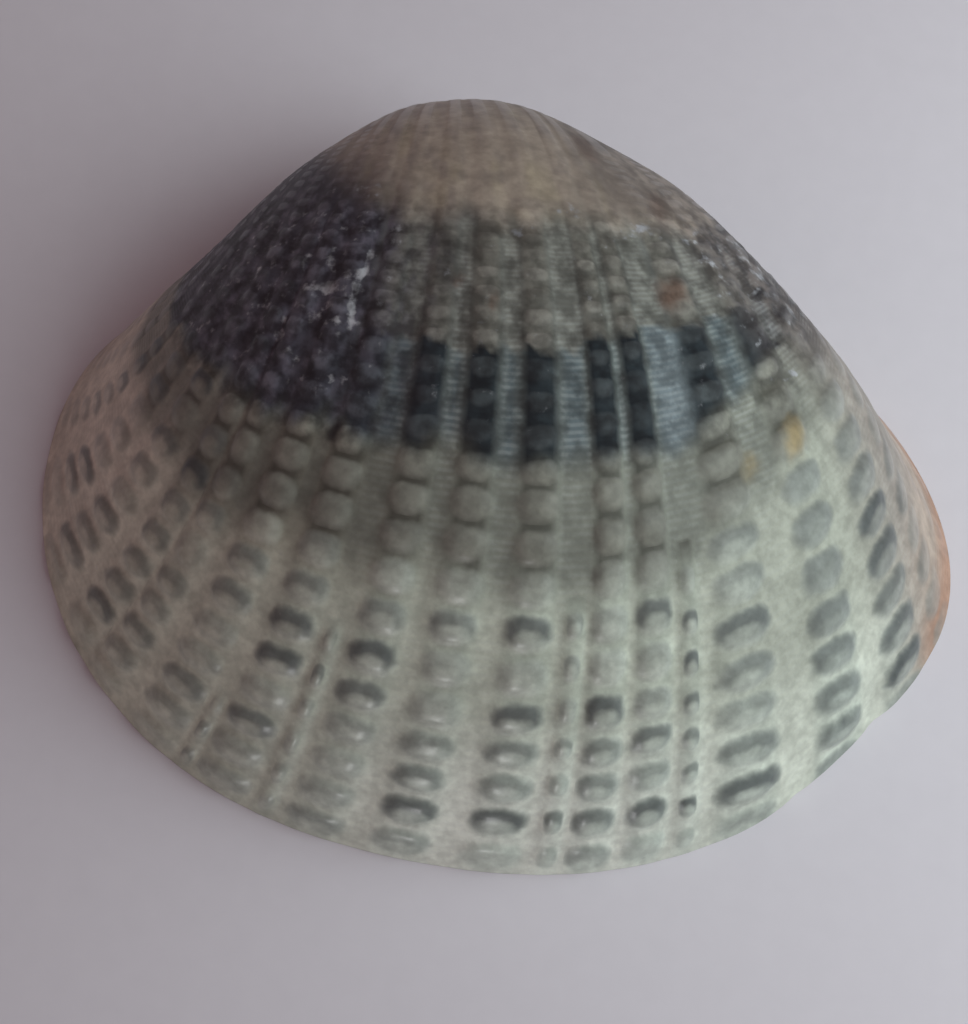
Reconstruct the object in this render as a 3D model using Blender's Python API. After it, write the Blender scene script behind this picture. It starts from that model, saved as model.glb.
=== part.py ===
"""Venus clam shell: one whole left valve, resting on its margin with the outside up.

The valve grew as one piece, so it is one solid. Its loops all have the margin's outline: each
older one is smaller and turned further about the coiling axis, which lies along the hinge, so
together they wind up into the beak. +X is the rear end, +Y the hinge side, +Z up, and the
commissure, the plane where the two valves met, is z = 0.
"""

import bpy
import numpy as np

MM = 0.001
COLLECTION = "venus_clam_shell"
NODE = "left_valve"

# Outline of the margin in mm from the point under the beak: hinge, front end, belly, rear end.
MARGIN = (
    (0.0, -1.2), (-5.0, -3.6), (-10.0, -6.0), (-13.7, -9.6), (-14.8, -15.0),
    (-12.5, -22.2), (-5.3, -28.1), (3.3, -29.7), (11.5, -28.6), (18.4, -24.6),
    (22.8, -18.8), (24.4, -13.6), (22.6, -8.2), (16.5, -3.0), (8.0, -0.9),
)
# The beak's place in mm from the middle of the footprint, which is the origin.
BEAK = (-4.797, 13.225)

# Growth: a loop at turn t has the size exp(-(GROWTH t + GROWTH_BEND t^2)).
GROWTH = 0.57
GROWTH_BEND = 0.10
AXIS_TILT = np.radians(9.0)
LAST_TURN = 3.05
ROUNDED_LOOPS = 3

# Ribs: place along the margin (0 and 1 at the beak, front end near 0.2) and width there.
RIBS = (
    (0.105, 0.010), (0.130, 0.010), (0.155, 0.011), (0.184, 0.014), (0.2175, 0.022),
    (0.2505, 0.022), (0.2825, 0.018), (0.304, 0.017), (0.3344, 0.021), (0.3678, 0.021),
    (0.408, 0.021), (0.4415, 0.021), (0.477, 0.021), (0.5151, 0.016), (0.5367, 0.016),
    (0.5812, 0.027), (0.6297, 0.025), (0.6707, 0.024), (0.7025, 0.018), (0.735, 0.013),
    (0.762, 0.012), (0.787, 0.011), (0.811, 0.011), (0.834, 0.010), (0.856, 0.010),
)
# Riblets that start late, between two ribs: place, width and the turn at which they start.
RIBLETS = ((0.4987, 0.008, 0.40), (0.5541, 0.008, 0.46))
RIBLET_SHARE = 0.7
RIBLET_RISE = 0.1
RIB_HEIGHT = 0.40 * MM
RIB_SHRINK = 0.7
RIB_BETWEEN_NODULES = 0.4
# Turns between which the ribs rise from the worn rim and sink again into the worn umbo.
RIM_WORN = 0.4
RIM_TURNS = (0.0, 0.05)
UMBO_WORN = 0.2
UMBO_TURNS = (1.35, 0.8)
# Ribs flatten out towards the hinge at the front end and at the rear end.
HINGE_RIBS = 0.1
RIBS_FADE_FRONT = (0.08, 0.22)
RIBS_FADE_REAR = (0.80, 0.68)
# Ribs sway towards the front end as the shell grows.
SWAY = 0.044
SWAY_SPREAD = 0.62
SWAY_MIDDLE = 0.53
SWAY_REACH = 0.7
SWAY_FADE_FRONT = (0.0, 0.12)
SWAY_FADE_REAR = (1.0, 0.85)
# Shoulders, where the valve is fuller below the hinge line: place, reach and height.
SHOULDERS = ((0.135, 0.07, 0.32 * MM), (0.715, 0.09, 0.72 * MM))
SHOULDER_RISE = (0.0, 0.5)
SHOULDER_FALL = (2.1, 1.2)

# Rows of nodules: turns at which they lie, and their numbers from the margin.
ROWS = ((-0.026, 0.0), (0.026, 1.0), (0.235, 5.0), (0.545, 10.0), (0.825, 15.0))
FINE_ROWS = 9
ROWS_FADE = (0.54, 0.44)
PLAIN_LOOPS = 15

# Columns of the mesh: on the ribs' shoulders, and along the hinge in front of and behind the beak.
RIB_SHOULDER = 0.38
HINGE_COLUMNS = (0.006, 0.014, 0.022, 0.030, 0.042, 0.054, 0.066, 0.080, 0.092)
REAR_COLUMNS = (0.868, 0.885, 0.90, 0.915, 0.930, 0.945, 0.957, 0.967, 0.975, 0.983, 0.991, 0.998)

# Inside: rim, hinge plate and hollow.
RIM_WIDTH = 0.8 * MM
RIM_FLAT_TURN = 0.04
WALL_GROWTH = 0.05
PLATE_WIDTH = 3.2 * MM
PLATE_DEPTH = 1.15 * MM
PLATE_FRONT = (0.03, 0.14)
PLATE_REAR = (0.95, 0.82)
PLATE_ACROSS = (0.0, 0.3, 0.55, 0.8, 1.0)
PLATE_SIDE = 0.08
TOOTH_HEIGHT = 0.95 * MM
CARDINAL_TEETH = (-0.025, -0.002, 0.022)
CARDINAL_WIDTH = 0.007
CARDINAL_ACROSS = (0.0, 0.3, 0.8, 1.0)
LATERAL_TOOTH = (0.066, 0.020)
LATERAL_ACROSS = (0.55, 0.2)
LATERAL_SHARE = 0.8
PLATE_LIP = 0.6 * MM
# The wall behind the rim starts at a share of the hollow's first turn, then follows the plate.
WALL_START = 0.08
WALL_ALONG_PLATE = 0.74
WALL_ALONG_LIP = 0.09
HOLLOW_FIRST_TURN = 0.28
HOLLOW_TURN_AT_PLATE = 0.62
HOLLOW_LAST_TURN = 1.75
HOLLOW_LOOPS = 8

SHARP_ANGLE = np.radians(50.0)
COLOUR = (0.33, 0.34, 0.31, 1.0)
ROUGHNESS = 0.42


def smooth_step(start, end, value):
    """0 before start, 1 after end, with a soft change between; start may be the larger."""
    part = np.clip((value - start) / (end - start), 0.0, 1.0)
    return part * part * (3.0 - 2.0 * part)


def closed_curve(points, at):
    """Cubic curve through the points and back to the first, read at 0 to 1 of its chord length."""
    points = np.array(points)
    ahead = np.roll(points, -1, axis=0)
    span = np.linalg.norm(ahead - points, axis=1)
    span = span / span.sum()
    before = np.roll(span, 1)
    chord = (ahead - points) / span[:, None]
    rows = np.arange(len(points))
    matrix = np.diag(2.0 * (span + before))
    matrix[rows, rows - 1] = span
    matrix[rows, (rows + 1) % len(points)] = before
    pull = 3.0 * (span[:, None] * np.roll(chord, 1, axis=0) + before[:, None] * chord)
    slope = np.linalg.solve(matrix, pull)
    knots = np.concatenate([[0.0], np.cumsum(span)])
    at = np.mod(at, 1.0)
    i = np.clip(np.searchsorted(knots, at, side="right") - 1, 0, len(points) - 1)
    t = ((at - knots[i]) / span[i])[..., None]
    reach = span[i][..., None]
    start = (2 * t**3 - 3 * t**2 + 1) * points[i] + (t**3 - 2 * t**2 + t) * reach * slope[i]
    end = (3 * t**2 - 2 * t**3) * ahead[i] + (t**3 - t**2) * reach * np.roll(slope, -1, axis=0)[i]
    return start + end


def margin(at, inset=0.0, share=0.0):
    """The margin in metres, moved inwards by inset: along its normal, or straight down from the
    hinge where share is 1."""
    nudge = 0.0005
    curve = closed_curve(MARGIN, at) * MM
    along = closed_curve(MARGIN, at + nudge) - closed_curve(MARGIN, at - nudge)
    inward = np.stack([-along[..., 1], along[..., 0]], axis=-1)
    inward /= np.linalg.norm(inward, axis=-1, keepdims=True)
    share = np.asarray(share)[..., None]
    inward = inward * (1.0 - share) + np.array([0.0, -1.0]) * share
    inward /= np.linalg.norm(inward, axis=-1, keepdims=True)
    return curve + inward * np.asarray(inset)[..., None]


def sway(place, turn):
    """Where the rib that ends at place runs at a turn: nearer the rear end, most at the ends."""
    slope = SWAY + SWAY_SPREAD * (place - SWAY_MIDDLE) ** 2
    slope = slope * smooth_step(*SWAY_FADE_FRONT, place) * smooth_step(*SWAY_FADE_REAR, place)
    return place + slope * SWAY_REACH * np.tanh(turn / SWAY_REACH)


def size_at(turn, extra=0.0):
    """How large a loop is at a turn, with the margin as 1."""
    return np.exp(-((GROWTH + extra) * turn + GROWTH_BEND * turn**2))


def turned(flat, turn, extra=0.0):
    """A loop in the plane, shrunk and turned up about the coiling axis."""
    axis = np.array([np.cos(AXIS_TILT), np.sin(AXIS_TILT), 0.0])
    flat = np.concatenate([flat, np.zeros(flat.shape[:-1] + (1,))], axis=-1)
    along = (flat @ axis)[..., None] * axis
    out = flat - along
    up = np.cross(out, axis)
    turn = turn[..., None]
    return size_at(turn, extra) * (along + np.cos(turn) * out + np.sin(turn) * up)


def row_count(turn):
    """How many rows of nodules lie between the margin and a turn."""
    turns, counts = zip(*ROWS)
    return np.interp(turn, turns, counts)


def rib(place, at, width):
    """Cross section of a rib: 1 on its flat top, falling steeply at its sides."""
    return 1.0 / (1.0 + ((place - at) / (0.5 * width)) ** 6)


def relief(place, turn):
    """Height of the ribs, their nodules and the shoulders over the plain shell."""
    ribs = np.zeros_like(place)
    for at, width in RIBS:
        ribs = np.maximum(ribs, rib(place, at, width))
    for at, width, start in RIBLETS:
        grown = RIBLET_SHARE * smooth_step(start, start - RIBLET_RISE, turn)
        ribs = np.maximum(ribs, grown * rib(place, at, width))
    rows = 0.5 + 0.5 * np.cos(2.0 * np.pi * row_count(turn))
    rows = 0.5 + (rows - 0.5) * smooth_step(*ROWS_FADE, turn)
    worn = UMBO_WORN + (1.0 - UMBO_WORN) * smooth_step(*UMBO_TURNS, turn)
    worn = worn * (RIM_WORN + (1.0 - RIM_WORN) * smooth_step(*RIM_TURNS, turn))
    fade = smooth_step(*RIBS_FADE_FRONT, place) * smooth_step(*RIBS_FADE_REAR, place)
    height = RIB_HEIGHT * size_at(turn) ** RIB_SHRINK * worn * (HINGE_RIBS + (1.0 - HINGE_RIBS) * fade)
    height = height * ribs * (RIB_BETWEEN_NODULES + (1.0 - RIB_BETWEEN_NODULES) * rows)
    risen = smooth_step(*SHOULDER_RISE, turn) * smooth_step(*SHOULDER_FALL, turn)
    for at, reach, full in SHOULDERS:
        height = height + full * risen * np.exp(-(((place - at) / reach) ** 2))
    return height


def columns():
    """Places along the margin: two on each rib's shoulders, one in each gap, a few at the hinge."""
    tops = sorted([(at, width) for at, width in RIBS] + [(at, 0.0) for at, _, _ in RIBLETS])
    places = []
    for at, width in tops:
        places += [at] if width == 0.0 else [at - RIB_SHOULDER * width, at + RIB_SHOULDER * width]
    edges = [(at - 0.5 * width, at + 0.5 * width) for at, width in tops]
    for (_, low), (high, _) in zip(edges, edges[1:]):
        places.append(0.5 * (low + high))
    return np.array(sorted(places + list(HINGE_COLUMNS) + list(REAR_COLUMNS)))


def outside(place):
    """Loops of the outside from the beak to the margin, with ribs and nodules."""
    turns, counts = zip(*ROWS)
    nodule_turns = np.interp(1.0 + 0.5 * np.arange(2 * FINE_ROWS + 1), counts, turns)
    plain = np.linspace(nodule_turns[-1], LAST_TURN, PLAIN_LOOPS + 1)[1:]
    turns = np.concatenate([[0.0], nodule_turns, plain])[::-1]
    turn, at = np.meshgrid(turns, place, indexing="ij")
    flat = margin(sway(at, turn))
    loops = turned(flat, turn)
    down = np.gradient(loops, axis=0)
    round_about = 0.5 * (np.roll(loops, -1, axis=1) - np.roll(loops, 1, axis=1))
    normal = np.cross(down, round_about)
    normal[..., 2] *= smooth_step(0.0, RIM_FLAT_TURN, turn)
    normal /= np.linalg.norm(normal, axis=-1, keepdims=True)
    loops = loops + normal * relief(at, turn)[..., None]
    middle = loops[:ROUNDED_LOOPS].mean(axis=1, keepdims=True)
    shrink = np.sin(np.linspace(0.0, 0.5 * np.pi, ROUNDED_LOOPS + 2)[1:-1])[:, None, None]
    loops[:ROUNDED_LOOPS] = middle + (loops[:ROUNDED_LOOPS] - middle) * shrink
    return loops


def plate_share(place):
    """1 along the hinge plate, 0 where the wall rises straight from the rim."""
    front = smooth_step(PLATE_FRONT[1], PLATE_FRONT[0], place)
    rear = smooth_step(PLATE_REAR[1], PLATE_REAR[0], place)
    return np.maximum(front, rear)


def teeth(place, across):
    """Height of the hinge teeth on the plate: three cardinals under the beak and a lateral."""
    signed = np.where(place > 0.5, place - 1.0, place)
    low, rise, fall, high = CARDINAL_ACROSS
    ridge = smooth_step(low, rise, across) * smooth_step(high, fall, across)
    height = np.zeros_like(place)
    for at in CARDINAL_TEETH:
        height = np.maximum(height, np.exp(-(((signed - at) / CARDINAL_WIDTH) ** 2)) * ridge)
    at, reach = LATERAL_TOOTH
    middle, half = LATERAL_ACROSS
    lateral = np.exp(-(((signed - at) / reach) ** 4)) * np.exp(-(((across - middle) / half) ** 2))
    return TOOTH_HEIGHT * np.maximum(height, LATERAL_SHARE * lateral)


def inside(place):
    """Loops of the inside: the flat rim, the hinge plate with its teeth, then the hollow."""
    share = plate_share(place)
    rim = margin(place, np.full_like(place, RIM_WIDTH))
    base = margin(place, RIM_WIDTH + PLATE_WIDTH * share, share)
    loops = [np.concatenate([rim, np.zeros((len(place), 1))], axis=1)]
    for across, lip in [(across, 0.0) for across in PLATE_ACROSS] + [(1.0, PLATE_LIP)]:
        share_of_turn = WALL_START + WALL_ALONG_PLATE * across + WALL_ALONG_LIP * lip / PLATE_LIP
        wall = turned(rim, np.full_like(place, HOLLOW_FIRST_TURN * share_of_turn), WALL_GROWTH)
        flat = rim + (base - rim) * (PLATE_SIDE + (1.0 - PLATE_SIDE) * across)
        depth = PLATE_DEPTH + lip - teeth(place, np.full_like(place, across))
        plate = np.concatenate([flat, depth[:, None]], axis=1)
        loops.append(wall + (plate - wall) * share[:, None])
    first = HOLLOW_FIRST_TURN + (HOLLOW_TURN_AT_PLATE - HOLLOW_FIRST_TURN) * share
    for part in np.linspace(0.0, 1.0, HOLLOW_LOOPS):
        loops.append(turned(base, first + (HOLLOW_LAST_TURN - first) * part, WALL_GROWTH))
    return np.array(loops)


def loft(loops):
    """Closed mesh through the loops in turn, each joined to the next, with a fan at both ends.

    The loops run from the beak over the outside to the margin and back into the hollow."""
    count, around = loops.shape[:2]
    ends = np.stack([loops[0].mean(axis=0), loops[-1].mean(axis=0)])
    vertices = np.concatenate([loops.reshape(-1, 3), ends])
    row = np.arange(count - 1)[:, None] * around
    here = np.arange(around)[None, :]
    ahead = (here + 1) % around
    quads = np.stack([row + here, row + around + here, row + around + ahead, row + ahead], axis=-1)
    last = (count - 1) * around
    first_fan = np.stack([np.full(around, count * around), here[0], ahead[0]], axis=-1)
    last_fan = np.stack([np.full(around, count * around + 1), last + ahead[0], last + here[0]], axis=-1)
    faces = quads.reshape(-1, 4).tolist() + first_fan.tolist() + last_fan.tolist()
    mesh = bpy.data.meshes.new(NODE)
    mesh.from_pydata(vertices.tolist(), [], faces)
    mesh.update()
    return mesh


def shell_material():
    """Weathered shell: grey-green, half glossy."""
    material = bpy.data.materials.new("worn_shell")
    material.use_nodes = True
    shader = material.node_tree.nodes["Principled BSDF"]
    shader.inputs["Base Color"].default_value = COLOUR
    shader.inputs["Roughness"].default_value = ROUGHNESS
    shader.inputs["Metallic"].default_value = 0.0
    return material


def left_valve():
    """The valve: the outside's loops, then the inside's, as one closed loft."""
    place = columns()
    loops = np.concatenate([outside(place), inside(place)])
    loops[..., :2] += np.array(BEAK) * MM
    mesh = loft(loops)
    mesh.shade_smooth()
    mesh.set_sharp_from_angle(angle=SHARP_ANGLE)
    mesh.materials.append(shell_material())
    return bpy.data.objects.new(NODE, mesh)


def main():
    for item in list(bpy.data.objects):
        bpy.data.objects.remove(item)
    collection = bpy.data.collections.new(COLLECTION)
    bpy.context.scene.collection.children.link(collection)
    collection.objects.link(left_valve())


main()
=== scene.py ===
"""Looks of the venus clam shell: the fine surface of the left valve, its colours and the studio."""

import math

import bpy
import numpy as np
from mathutils import Matrix


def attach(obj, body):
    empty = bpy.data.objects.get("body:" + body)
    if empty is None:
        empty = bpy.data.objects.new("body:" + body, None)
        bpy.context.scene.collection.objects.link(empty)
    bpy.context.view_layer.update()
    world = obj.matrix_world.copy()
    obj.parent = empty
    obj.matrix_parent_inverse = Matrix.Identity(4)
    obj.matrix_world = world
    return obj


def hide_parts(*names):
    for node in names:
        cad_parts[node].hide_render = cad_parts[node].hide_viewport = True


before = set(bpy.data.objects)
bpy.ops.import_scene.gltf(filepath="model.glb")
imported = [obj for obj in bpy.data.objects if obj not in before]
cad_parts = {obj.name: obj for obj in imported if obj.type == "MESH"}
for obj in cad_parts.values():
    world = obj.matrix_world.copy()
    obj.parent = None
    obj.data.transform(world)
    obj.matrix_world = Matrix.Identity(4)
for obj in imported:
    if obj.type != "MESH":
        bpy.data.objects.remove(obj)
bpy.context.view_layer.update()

MM = 0.001
PIECE = "valve_surface"

# The valve's own outline and growth, as in the solid.
MARGIN = (
    (0.0, -1.2), (-5.0, -3.6), (-10.0, -6.0), (-13.7, -9.6), (-14.8, -15.0),
    (-12.5, -22.2), (-5.3, -28.1), (3.3, -29.7), (11.5, -28.6), (18.4, -24.6),
    (22.8, -18.8), (24.4, -13.6), (22.6, -8.2), (16.5, -3.0), (8.0, -0.9),
)
BEAK = (-4.797, 13.225)
GROWTH = 0.57
GROWTH_BEND = 0.10
AXIS_TILT = math.radians(9.0)
LAST_TURN = 3.05
# The beak's tip is rounded off from this turn on, nearly to a point.
ROUNDED_TURN = 2.65
ROUNDED_MOST = 0.985
# Relief moves the surface level at the margin, and along its normal from here on.
LEVEL_RELIEF = (0.0, 0.04)

# Ribs: place along the margin (0 and 1 at the beak, front end near 0.2), width there, how widely
# the rib's rows are spread and how much later they start, and how far its nodules slant.
RIBS = (
    (0.105, 0.01, 1.2, 0.0, 0.0), (0.13, 0.01, 1.2, 0.01, 0.0),
    (0.155, 0.011, 1.2, -0.01, 0.0), (0.184, 0.014, 1.2, 0.015, -0.02),
    (0.2175, 0.022, 1.2, -0.02, -0.024), (0.2505, 0.022, 1.2, 0.0, -0.016),
    (0.2825, 0.018, 1.17, 0.012, -0.008), (0.304, 0.017, 1.1, -0.006, 0.0),
    (0.3344, 0.021, 1.02, -0.005, 0.0), (0.3678, 0.021, 1.0, 0.002, 0.0),
    (0.408, 0.021, 0.98, -0.002, 0.0), (0.4415, 0.021, 0.98, 0.002, 0.0),
    (0.477, 0.021, 0.98, 0.002, 0.0), (0.5151, 0.016, 1.01, 0.0, 0.0),
    (0.5367, 0.016, 1.02, 0.0, 0.0), (0.5812, 0.027, 1.07, -0.016, 0.012),
    (0.6297, 0.025, 1.2, -0.04, 0.022), (0.6707, 0.024, 1.2, -0.04, 0.004),
    (0.7025, 0.018, 1.2, -0.03, 0.0), (0.735, 0.013, 1.2, 0.0, 0.0),
    (0.762, 0.012, 1.2, 0.012, 0.0), (0.787, 0.011, 1.2, -0.008, 0.0),
    (0.811, 0.011, 1.2, 0.01, 0.0), (0.834, 0.01, 1.2, 0.0, 0.0),
    (0.856, 0.01, 1.2, 0.01, 0.0),
)
# Riblets between two ribs: place, width, row spread and start as above, and the turn of their start.
RIBLETS = (
    (0.3513, 0.0058, 1.0, 0.002, 0.16), (0.3875, 0.007, 1.0, 0.002, 0.33),
    (0.4987, 0.009, 1.02, 0.002, 0.4), (0.5541, 0.009, 0.96, 0.0, 0.46),
)
RIBLET_HEIGHT = 0.8
RIBLET_GROWTH = 0.05
# How much smaller a riblet's nodules are than its width would make them.
RIBLET_NODULES = 1.9
# A distance beyond every rib.
FAR = 9.0
SLANT_TURNS = (0.45, 0.1)
SLANT_REACH = 1.4
ROW_WANDER = 0.16
RIB_HEIGHT = 0.33 * MM
RIB_BETWEEN_NODULES = 0.35
RIB_SHRINKING = 0.7
# The share of the ribs' height that is left at the rim, at the umbo and beyond both ends.
RIM_WORN = 0.15
RIM_TURNS = (0.0, 0.05)
UMBO_WORN = 0.2
UMBO_TURNS = (1.3, 0.7)
ENDS_WORN = 0.1
RIBS_FADE_FRONT = (0.13, 0.35)
RIBS_FADE_REAR = (0.725, 0.665)
SLOPE_RUBBED = 0.75
SWAY = 0.044
SWAY_SPREAD = 0.62
SWAY_MIDDLE = 0.53
SWAY_REACH = 0.7
SWAY_FRONT = (0.0, 0.12)
SWAY_REAR = (1.0, 0.85)
# Shoulders, where the valve is fuller below the hinge line: place, reach and height.
SHOULDERS = ((0.135, 0.07, 0.32 * MM), (0.715, 0.09, 0.72 * MM))
SHOULDER_RISE = (0.0, 0.5)
SHOULDER_FALL = (2.1, 1.2)
# Where the rim is worn back or nicked: place, reach and depth, and the turn where that ends.
RIM_LOSSES = ((0.634, 0.034, 0.34 * MM), (0.651, 0.005, 0.12 * MM), (0.606, 0.004, 0.07 * MM))
RIM_LOSS_TURNS = (0.10, 0.0)

# Turns at which the rows of nodules lie, and their numbers from the margin.
ROWS = (
    (-0.026, 0.0), (0.026, 1.0), (0.235, 5.0), (0.545, 10.0), (0.825, 15.0), (1.05, 20.0), (1.3, 27.0),
)
MOST_ROWS = 64
# A nodule towards the margin and towards the beak: its reach along the rib in rows, and how blunt
# it is across and along the rib.
NODULE_REACH = (0.42, 0.35)
NODULE_ROUND = (2.4, 2.2)
NODULE_SQUARE = (3.2, 2.8)
NODULE_HALVES_MEET = (-0.1, 0.1)
NODULE_FOOT = (1.6, 0.0)
NODULE_LEAST = 0.72
NODULE_CHANCE = 0.36

# Where the outer layer is worn off: the turn above which it is gone, how much further that lies on
# the rear half, how ragged and how soft the edge is, and the places where it starts.
WORN_TURN = 0.785
WORN_REAR_RISE = 0.035
WORN_REAR_PLACES = (0.47, 0.53)
WORN_RAGGED = 0.045
WORN_SOFT = 0.007
WORN_PLACES = (0.33, 0.38)
WORN_DEPTH = 0.05 * MM
# The rear slope, where ribs are rubbed away: its places at a turn, how it leans, and its turns.
SLOPE_PLACES = (0.61, 0.68)
SLOPE_LEAN = 0.10
SLOPE_TURN = 0.7
SLOPE_TURNS = (0.48, 0.70)
# Low relief all over: growth ridges, and pits where the shell is weathered.
RIDGE_HEIGHT = 0.03 * MM
RIDGE_TURNS = (0.0, 0.03)
PIT_HEIGHT = 0.05 * MM
PIT_TURNS = (0.58, 0.75)

# Inside: rim, hinge plate and hollow.
RIM_WIDTH = 0.8 * MM
WALL_GROWTH = 0.05
PLATE_WIDTH = 3.2 * MM
PLATE_DEPTH = 1.15 * MM
PLATE_FRONT = (0.14, 0.03)
PLATE_REAR = (0.82, 0.95)
PLATE_SIDE = 0.08
PLATE_LIP = 0.6 * MM
TOOTH_HEIGHT = 0.95 * MM
CARDINAL_TEETH = (-0.025, -0.002, 0.022)
CARDINAL_WIDTH = 0.007
LATERAL_TOOTH = (0.066, 0.020)
# How the teeth start and end across the plate, and the lateral's middle, reach and share there.
TEETH_ACROSS = ((0.0, 0.3), (1.0, 0.8))
LATERAL_ACROSS = (0.55, 0.2)
LATERAL_SHARE = 0.8
# The wall's turn at the rim's inner edge, across the plate and over the lip, in first turns.
WALL_TURNS = (0.02, 0.80, 0.09)
HOLLOW_CROWDING = 1.5
HOLLOW_FIRST_TURN = 0.28
HOLLOW_TURN_AT_PLATE = 0.62
HOLLOW_LAST_TURN = 1.75
# Inside marks: the turn of the line where the mantle was fixed, its bay towards the rear (place,
# reach and depth), and the two muscle scars (place, turn and half the size along both).
MANTLE_TURN = 0.21
MANTLE_MARKED = 0.4
MANTLE_BAY = (0.715, 0.030, 0.16)
MUSCLE_SCARS = ((0.172, 0.27, 0.021, 0.085), (0.782, 0.30, 0.027, 0.095))
SOFT_EDGE = 0.012
SCAR_EDGE = (1.1, 0.9)

# Fineness of the mesh.
COLUMNS_PER_RIB = 7
COLUMNS_PER_RIBLET = 5
GAP_STEP = 0.0042
HINGE_COLUMNS = 26
FINE_TURN = 0.62
FINE_LOOPS = 108
COARSE_TURN = 1.3
COARSE_LOOPS = 66
UMBO_LOOPS = 34
PLATE_LOOPS = 16
HOLLOW_LOOPS = 44
SHARP_ANGLE = math.radians(60.0)

# Noises over the shell: how many cells per place and per turn, and the seed.
ROWS_WANDER = (3.7, 11.0, 5)
GROWTH_RIDGES = (9.0, 46.0, 21)
PITTED = (170.0, 60.0, 22)
BROAD_TEAR = (40.0, 2.0, 31)
FINE_TEAR = (130.0, 14.0, 32)
MOTTLE = (210.0, 48.0, 33)
YELLOW_CLOUDS = (60.0, 9.0, 34)
GREY_CLOUDS = (110.0, 24.0, 35)
RAGGED_MARKS = (300.0, 60.0, 41)
# Seeds of the nodules' chances: dark edge, standing out, size, height.
RING_SEED = 3
SHOWN_SEED = 7
SMALL_SEED = 8
HEIGHT_SEED = 11


def ease(limits, value):
    """0 before the first limit, 1 after the other, with a soft change between; the first may be
    the larger."""
    start, end = limits
    part = np.clip((value - start) / (end - start), 0.0, 1.0)
    return part * part * (3.0 - 2.0 * part)


def closed_curve(points, at):
    """Cubic curve through the points and back to the first: each stretch is a Hermite cubic, and
    the slopes are those that keep the curve's bending continuous. Read at 0 to 1 of chord length."""
    points = np.array(points)
    ahead = np.roll(points, -1, axis=0)
    span = np.linalg.norm(ahead - points, axis=1)
    span = span / span.sum()
    before = np.roll(span, 1)
    chord = (ahead - points) / span[:, None]
    rows = np.arange(len(points))
    matrix = np.diag(2.0 * (span + before))
    matrix[rows, rows - 1] = span
    matrix[rows, (rows + 1) % len(points)] = before
    pull = 3.0 * (span[:, None] * np.roll(chord, 1, axis=0) + before[:, None] * chord)
    slope = np.linalg.solve(matrix, pull)
    knots = np.concatenate([[0.0], np.cumsum(span)])
    at = np.mod(at, 1.0)
    i = np.clip(np.searchsorted(knots, at, side="right") - 1, 0, len(points) - 1)
    t = ((at - knots[i]) / span[i])[..., None]
    reach = span[i][..., None]
    start = (2 * t**3 - 3 * t**2 + 1) * points[i] + (t**3 - 2 * t**2 + t) * reach * slope[i]
    end = (3 * t**2 - 2 * t**3) * ahead[i] + (t**3 - t**2) * reach * np.roll(slope, -1, axis=0)[i]
    return start + end


def margin(at, inset=0.0, share=0.0):
    """The margin in metres, moved inwards by inset: along its normal, or straight down from the
    hinge where share is 1."""
    nudge = 0.0005
    curve = closed_curve(MARGIN, at) * MM
    along = closed_curve(MARGIN, at + nudge) - closed_curve(MARGIN, at - nudge)
    inward = np.stack([-along[..., 1], along[..., 0]], axis=-1)
    inward /= np.linalg.norm(inward, axis=-1, keepdims=True)
    share = np.asarray(share)[..., None]
    inward = inward * (1.0 - share) + np.array([0.0, -1.0]) * share
    inward /= np.linalg.norm(inward, axis=-1, keepdims=True)
    return curve + inward * np.asarray(inset)[..., None]


def sway(place, turn):
    """Where the rib that ends at place runs at a turn: the place plus a slope, least at the middle
    ribs, times a turn that levels off."""
    slope = SWAY + SWAY_SPREAD * (place - SWAY_MIDDLE) ** 2
    slope = slope * ease(SWAY_FRONT, place) * ease(SWAY_REAR, place)
    return place + slope * SWAY_REACH * np.tanh(turn / SWAY_REACH)


def size_at(turn, extra=0.0):
    """How large a loop is at a turn: e to the minus (growth times turn plus bend times turn squared)."""
    return np.exp(-((GROWTH + extra) * turn + GROWTH_BEND * turn**2))


def turned(flat, turn, extra=0.0):
    """A loop in the plane, shrunk to its size and turned up about the coiling axis."""
    axis = np.array([np.cos(AXIS_TILT), np.sin(AXIS_TILT), 0.0])
    flat = np.concatenate([flat, np.zeros(flat.shape[:-1] + (1,))], axis=-1)
    along = (flat @ axis)[..., None] * axis
    out = flat - along
    up = np.cross(out, axis)
    turn = turn[..., None]
    return size_at(turn, extra) * (along + np.cos(turn) * out + np.sin(turn) * up)


def speckle(place, turn, cells, count=64):
    """Smooth noise from 0 to 1: random values on a square lattice of whole numbers, repeating
    every count, blended between the four around each point by smooth steps."""
    across = place * cells[0]
    along = turn * cells[1]
    lattice = np.random.default_rng(cells[2]).random((count, count))
    i = np.floor(across).astype(int)
    j = np.floor(along).astype(int)
    x = across - i
    y = along - j
    x = x * x * (3.0 - 2.0 * x)
    y = y * y * (3.0 - 2.0 * y)
    low = lattice[i % count, j % count] * (1.0 - x) + lattice[(i + 1) % count, j % count] * x
    above = (j + 1) % count
    high = lattice[i % count, above] * (1.0 - x) + lattice[(i + 1) % count, above] * x
    return low * (1.0 - y) + high * y


def row_count(turn):
    """How many rows of nodules lie between the margin and a turn, as a line through the rows."""
    turns, counts = zip(*ROWS)
    return np.interp(turn, turns, counts)


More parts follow.
